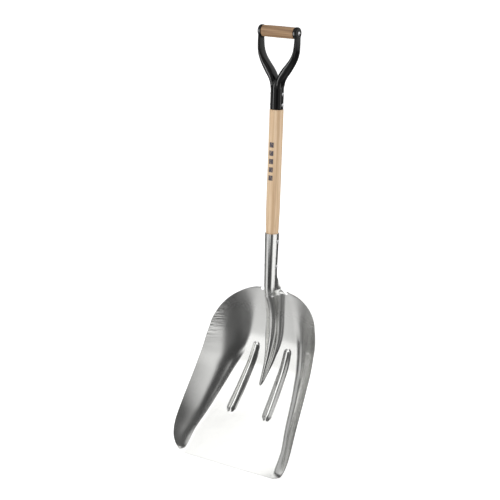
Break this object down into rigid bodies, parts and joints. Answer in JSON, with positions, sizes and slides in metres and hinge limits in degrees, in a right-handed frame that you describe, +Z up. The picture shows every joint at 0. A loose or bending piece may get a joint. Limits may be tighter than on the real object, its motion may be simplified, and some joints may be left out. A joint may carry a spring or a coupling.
{
  "type": "snow shovel",
  "caption": "Aluminium scoop snow shovel: deep ribbed blade with turned-up sides and open-back socket, straight wooden shaft, black steel yoke with turned wooden grip bar.",
  "frame": {"origin": "middle of the cutting edge's end face, the lowest line of the shovel as it stands", "axes": "+Z up along the wooden shaft, +X to the right seen from the load side, the load side of the scoop faces -Y"},
  "size_m": [0.3828, 0.2156, 1.1758],
  "materials": {
    "aluminium": "bright rolled sheet, drawn and lightly brushed",
    "ash_wood": "clear satin lacquer over straight-grained ash",
    "black_paint": "gloss black enamel",
    "grip_wood": "clear lacquer over darker turned hardwood",
    "rivet_steel": "bright plated rivet heads"
  },
  "bodies": {
    "root": {"scoop_blade": "aluminium", "wood_shaft": "ash_wood", "handle_yoke": "black_paint", "grip_bar": "grip_wood", "grip_through_rivet": "rivet_steel", "yoke_rivet_upper": "rivet_steel", "yoke_rivet_lower": "rivet_steel", "socket_rivet_upper": "rivet_steel", "socket_rivet_lower": "rivet_steel"}
  },
  "joints": []
}
